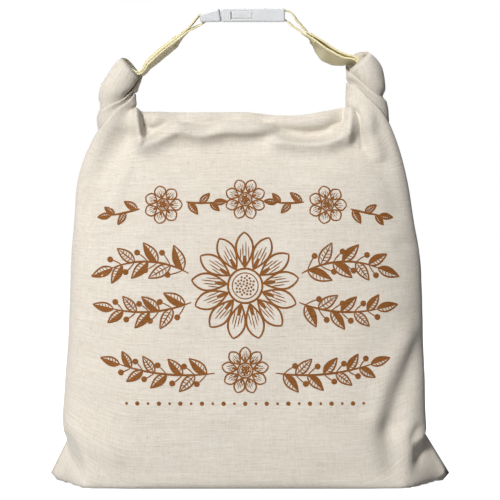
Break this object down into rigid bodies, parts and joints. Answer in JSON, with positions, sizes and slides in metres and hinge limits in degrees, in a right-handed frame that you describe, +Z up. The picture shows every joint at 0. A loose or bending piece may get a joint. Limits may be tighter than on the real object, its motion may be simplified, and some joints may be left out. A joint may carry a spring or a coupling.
{
  "type": "roll-top bread bag",
  "caption": "Waxed cotton bread bag standing on a boxed base, its mouth rolled shut and the roll's ends joined over it by webbing straps and a side-release buckle as a carrying handle.",
  "frame": {"origin": "middle of the flat base, on the surface that the bag stands on", "axes": "+Z up through the bag, +X to the right of the printed front, -Y towards the front"},
  "size_m": [0.2994, 0.0822, 0.3578],
  "materials": {
    "waxed_cloth": "plain-weave cotton-linen, dull, faintly slubbed",
    "webbing": "straw-yellow woven tape, dull",
    "buckle_plastic": "white moulded, satin"
  },
  "bodies": {
    "root": {"bag_cloth": "waxed_cloth", "strap_left": "webbing", "strap_right": "webbing", "buckle_male": "buckle_plastic", "buckle_female": "buckle_plastic"}
  },
  "joints": []
}
